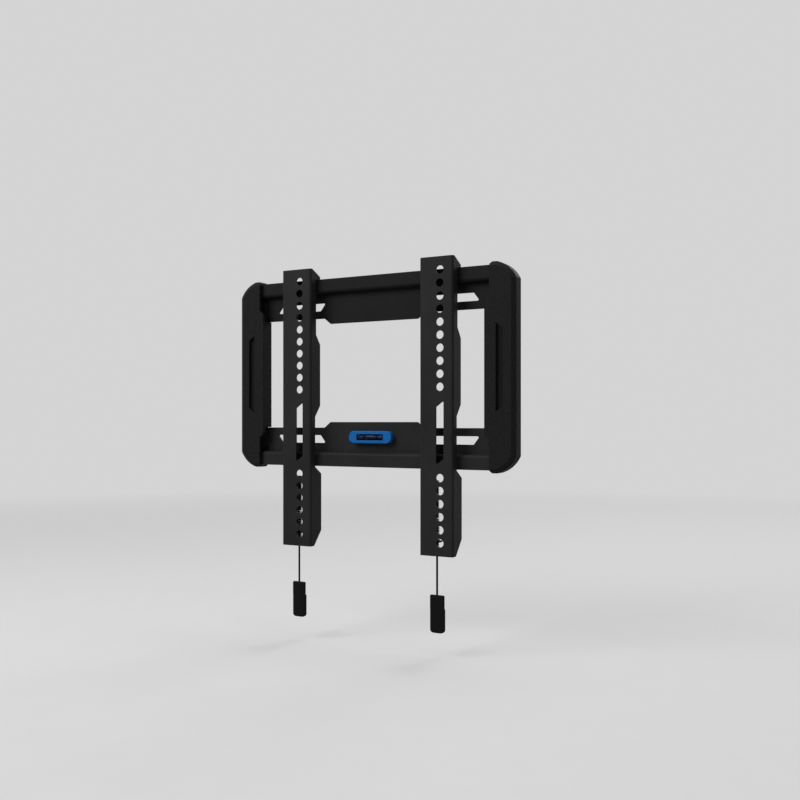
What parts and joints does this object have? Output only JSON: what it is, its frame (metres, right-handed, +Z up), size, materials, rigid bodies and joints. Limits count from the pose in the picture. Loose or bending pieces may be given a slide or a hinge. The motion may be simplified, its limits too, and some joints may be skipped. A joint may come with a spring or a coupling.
{
  "type": "fixed television wall bracket",
  "caption": "Slim fixed wall bracket for a television: slotted rail frame, two hook-on perforated arms with sprung latches, pull cords and a spirit level.",
  "frame": {"origin": "middle of the four wall slots, on the wall plane", "axes": "+X along the wall to the right as seen from the room, +Y into the wall, +Z up"},
  "size_m": [0.2554, 0.017, 0.2918],
  "materials": {
    "black_powder_coat": "semi-matt powder coat",
    "textured_black_plastic": "fine spark texture",
    "soft_black_plastic": "matt",
    "blue_plastic": "satin",
    "vial_fluid": "clear",
    "magnet_nickel": "plated",
    "zinc_steel": "zinc plated",
    "spring_steel": "drawn wire",
    "black_cord": "braided"
  },
  "bodies": {
    "wall_plate": {"top_rail": "black_powder_coat", "bottom_rail": "black_powder_coat", "upright_left": "black_powder_coat", "upright_right": "black_powder_coat", "frame_rivets": "zinc_steel", "cover_screws": "zinc_steel", "side_cover_left": "textured_black_plastic", "side_cover_right": "textured_black_plastic", "level_body": "blue_plastic", "level_vial": "vial_fluid", "level_magnets": "magnet_nickel"},
    "left_arm": {"arm_left": "black_powder_coat", "latch_rivets_left": "zinc_steel"},
    "left_latch": {"latch_left": "zinc_steel", "cord_stop_left": "zinc_steel", "pull_cord_left": "black_cord", "pull_tag_left": "soft_black_plastic", "latch_spring_left": "spring_steel"},
    "right_arm": {"arm_right": "black_powder_coat", "latch_rivets_right": "zinc_steel"},
    "right_latch": {"latch_right": "zinc_steel", "cord_stop_right": "zinc_steel", "pull_cord_right": "black_cord", "pull_tag_right": "soft_black_plastic", "latch_spring_right": "spring_steel"}
  },
  "joints": [
    {"name": "left_arm_slide", "type": "slide", "parent": "wall_plate", "child": "left_arm", "axis": [1, 0, 0], "range_m": [-0.016, 0.048]},
    {"name": "left_latch_pull", "type": "slide", "parent": "left_arm", "child": "left_latch", "axis": [0, 0, -1], "range_m": [0, 0.0078], "stiffness_N_per_m": 350, "springref_m": -0.006, "deforming": ["latch_spring_left"]},
    {"name": "right_arm_slide", "type": "slide", "parent": "wall_plate", "child": "right_arm", "axis": [1, 0, 0], "range_m": [-0.048, 0.016]},
    {"name": "right_latch_pull", "type": "slide", "parent": "right_arm", "child": "right_latch", "axis": [0, 0, -1], "range_m": [0, 0.0078], "stiffness_N_per_m": 350, "springref_m": -0.006, "deforming": ["latch_spring_right"]}
  ]
}
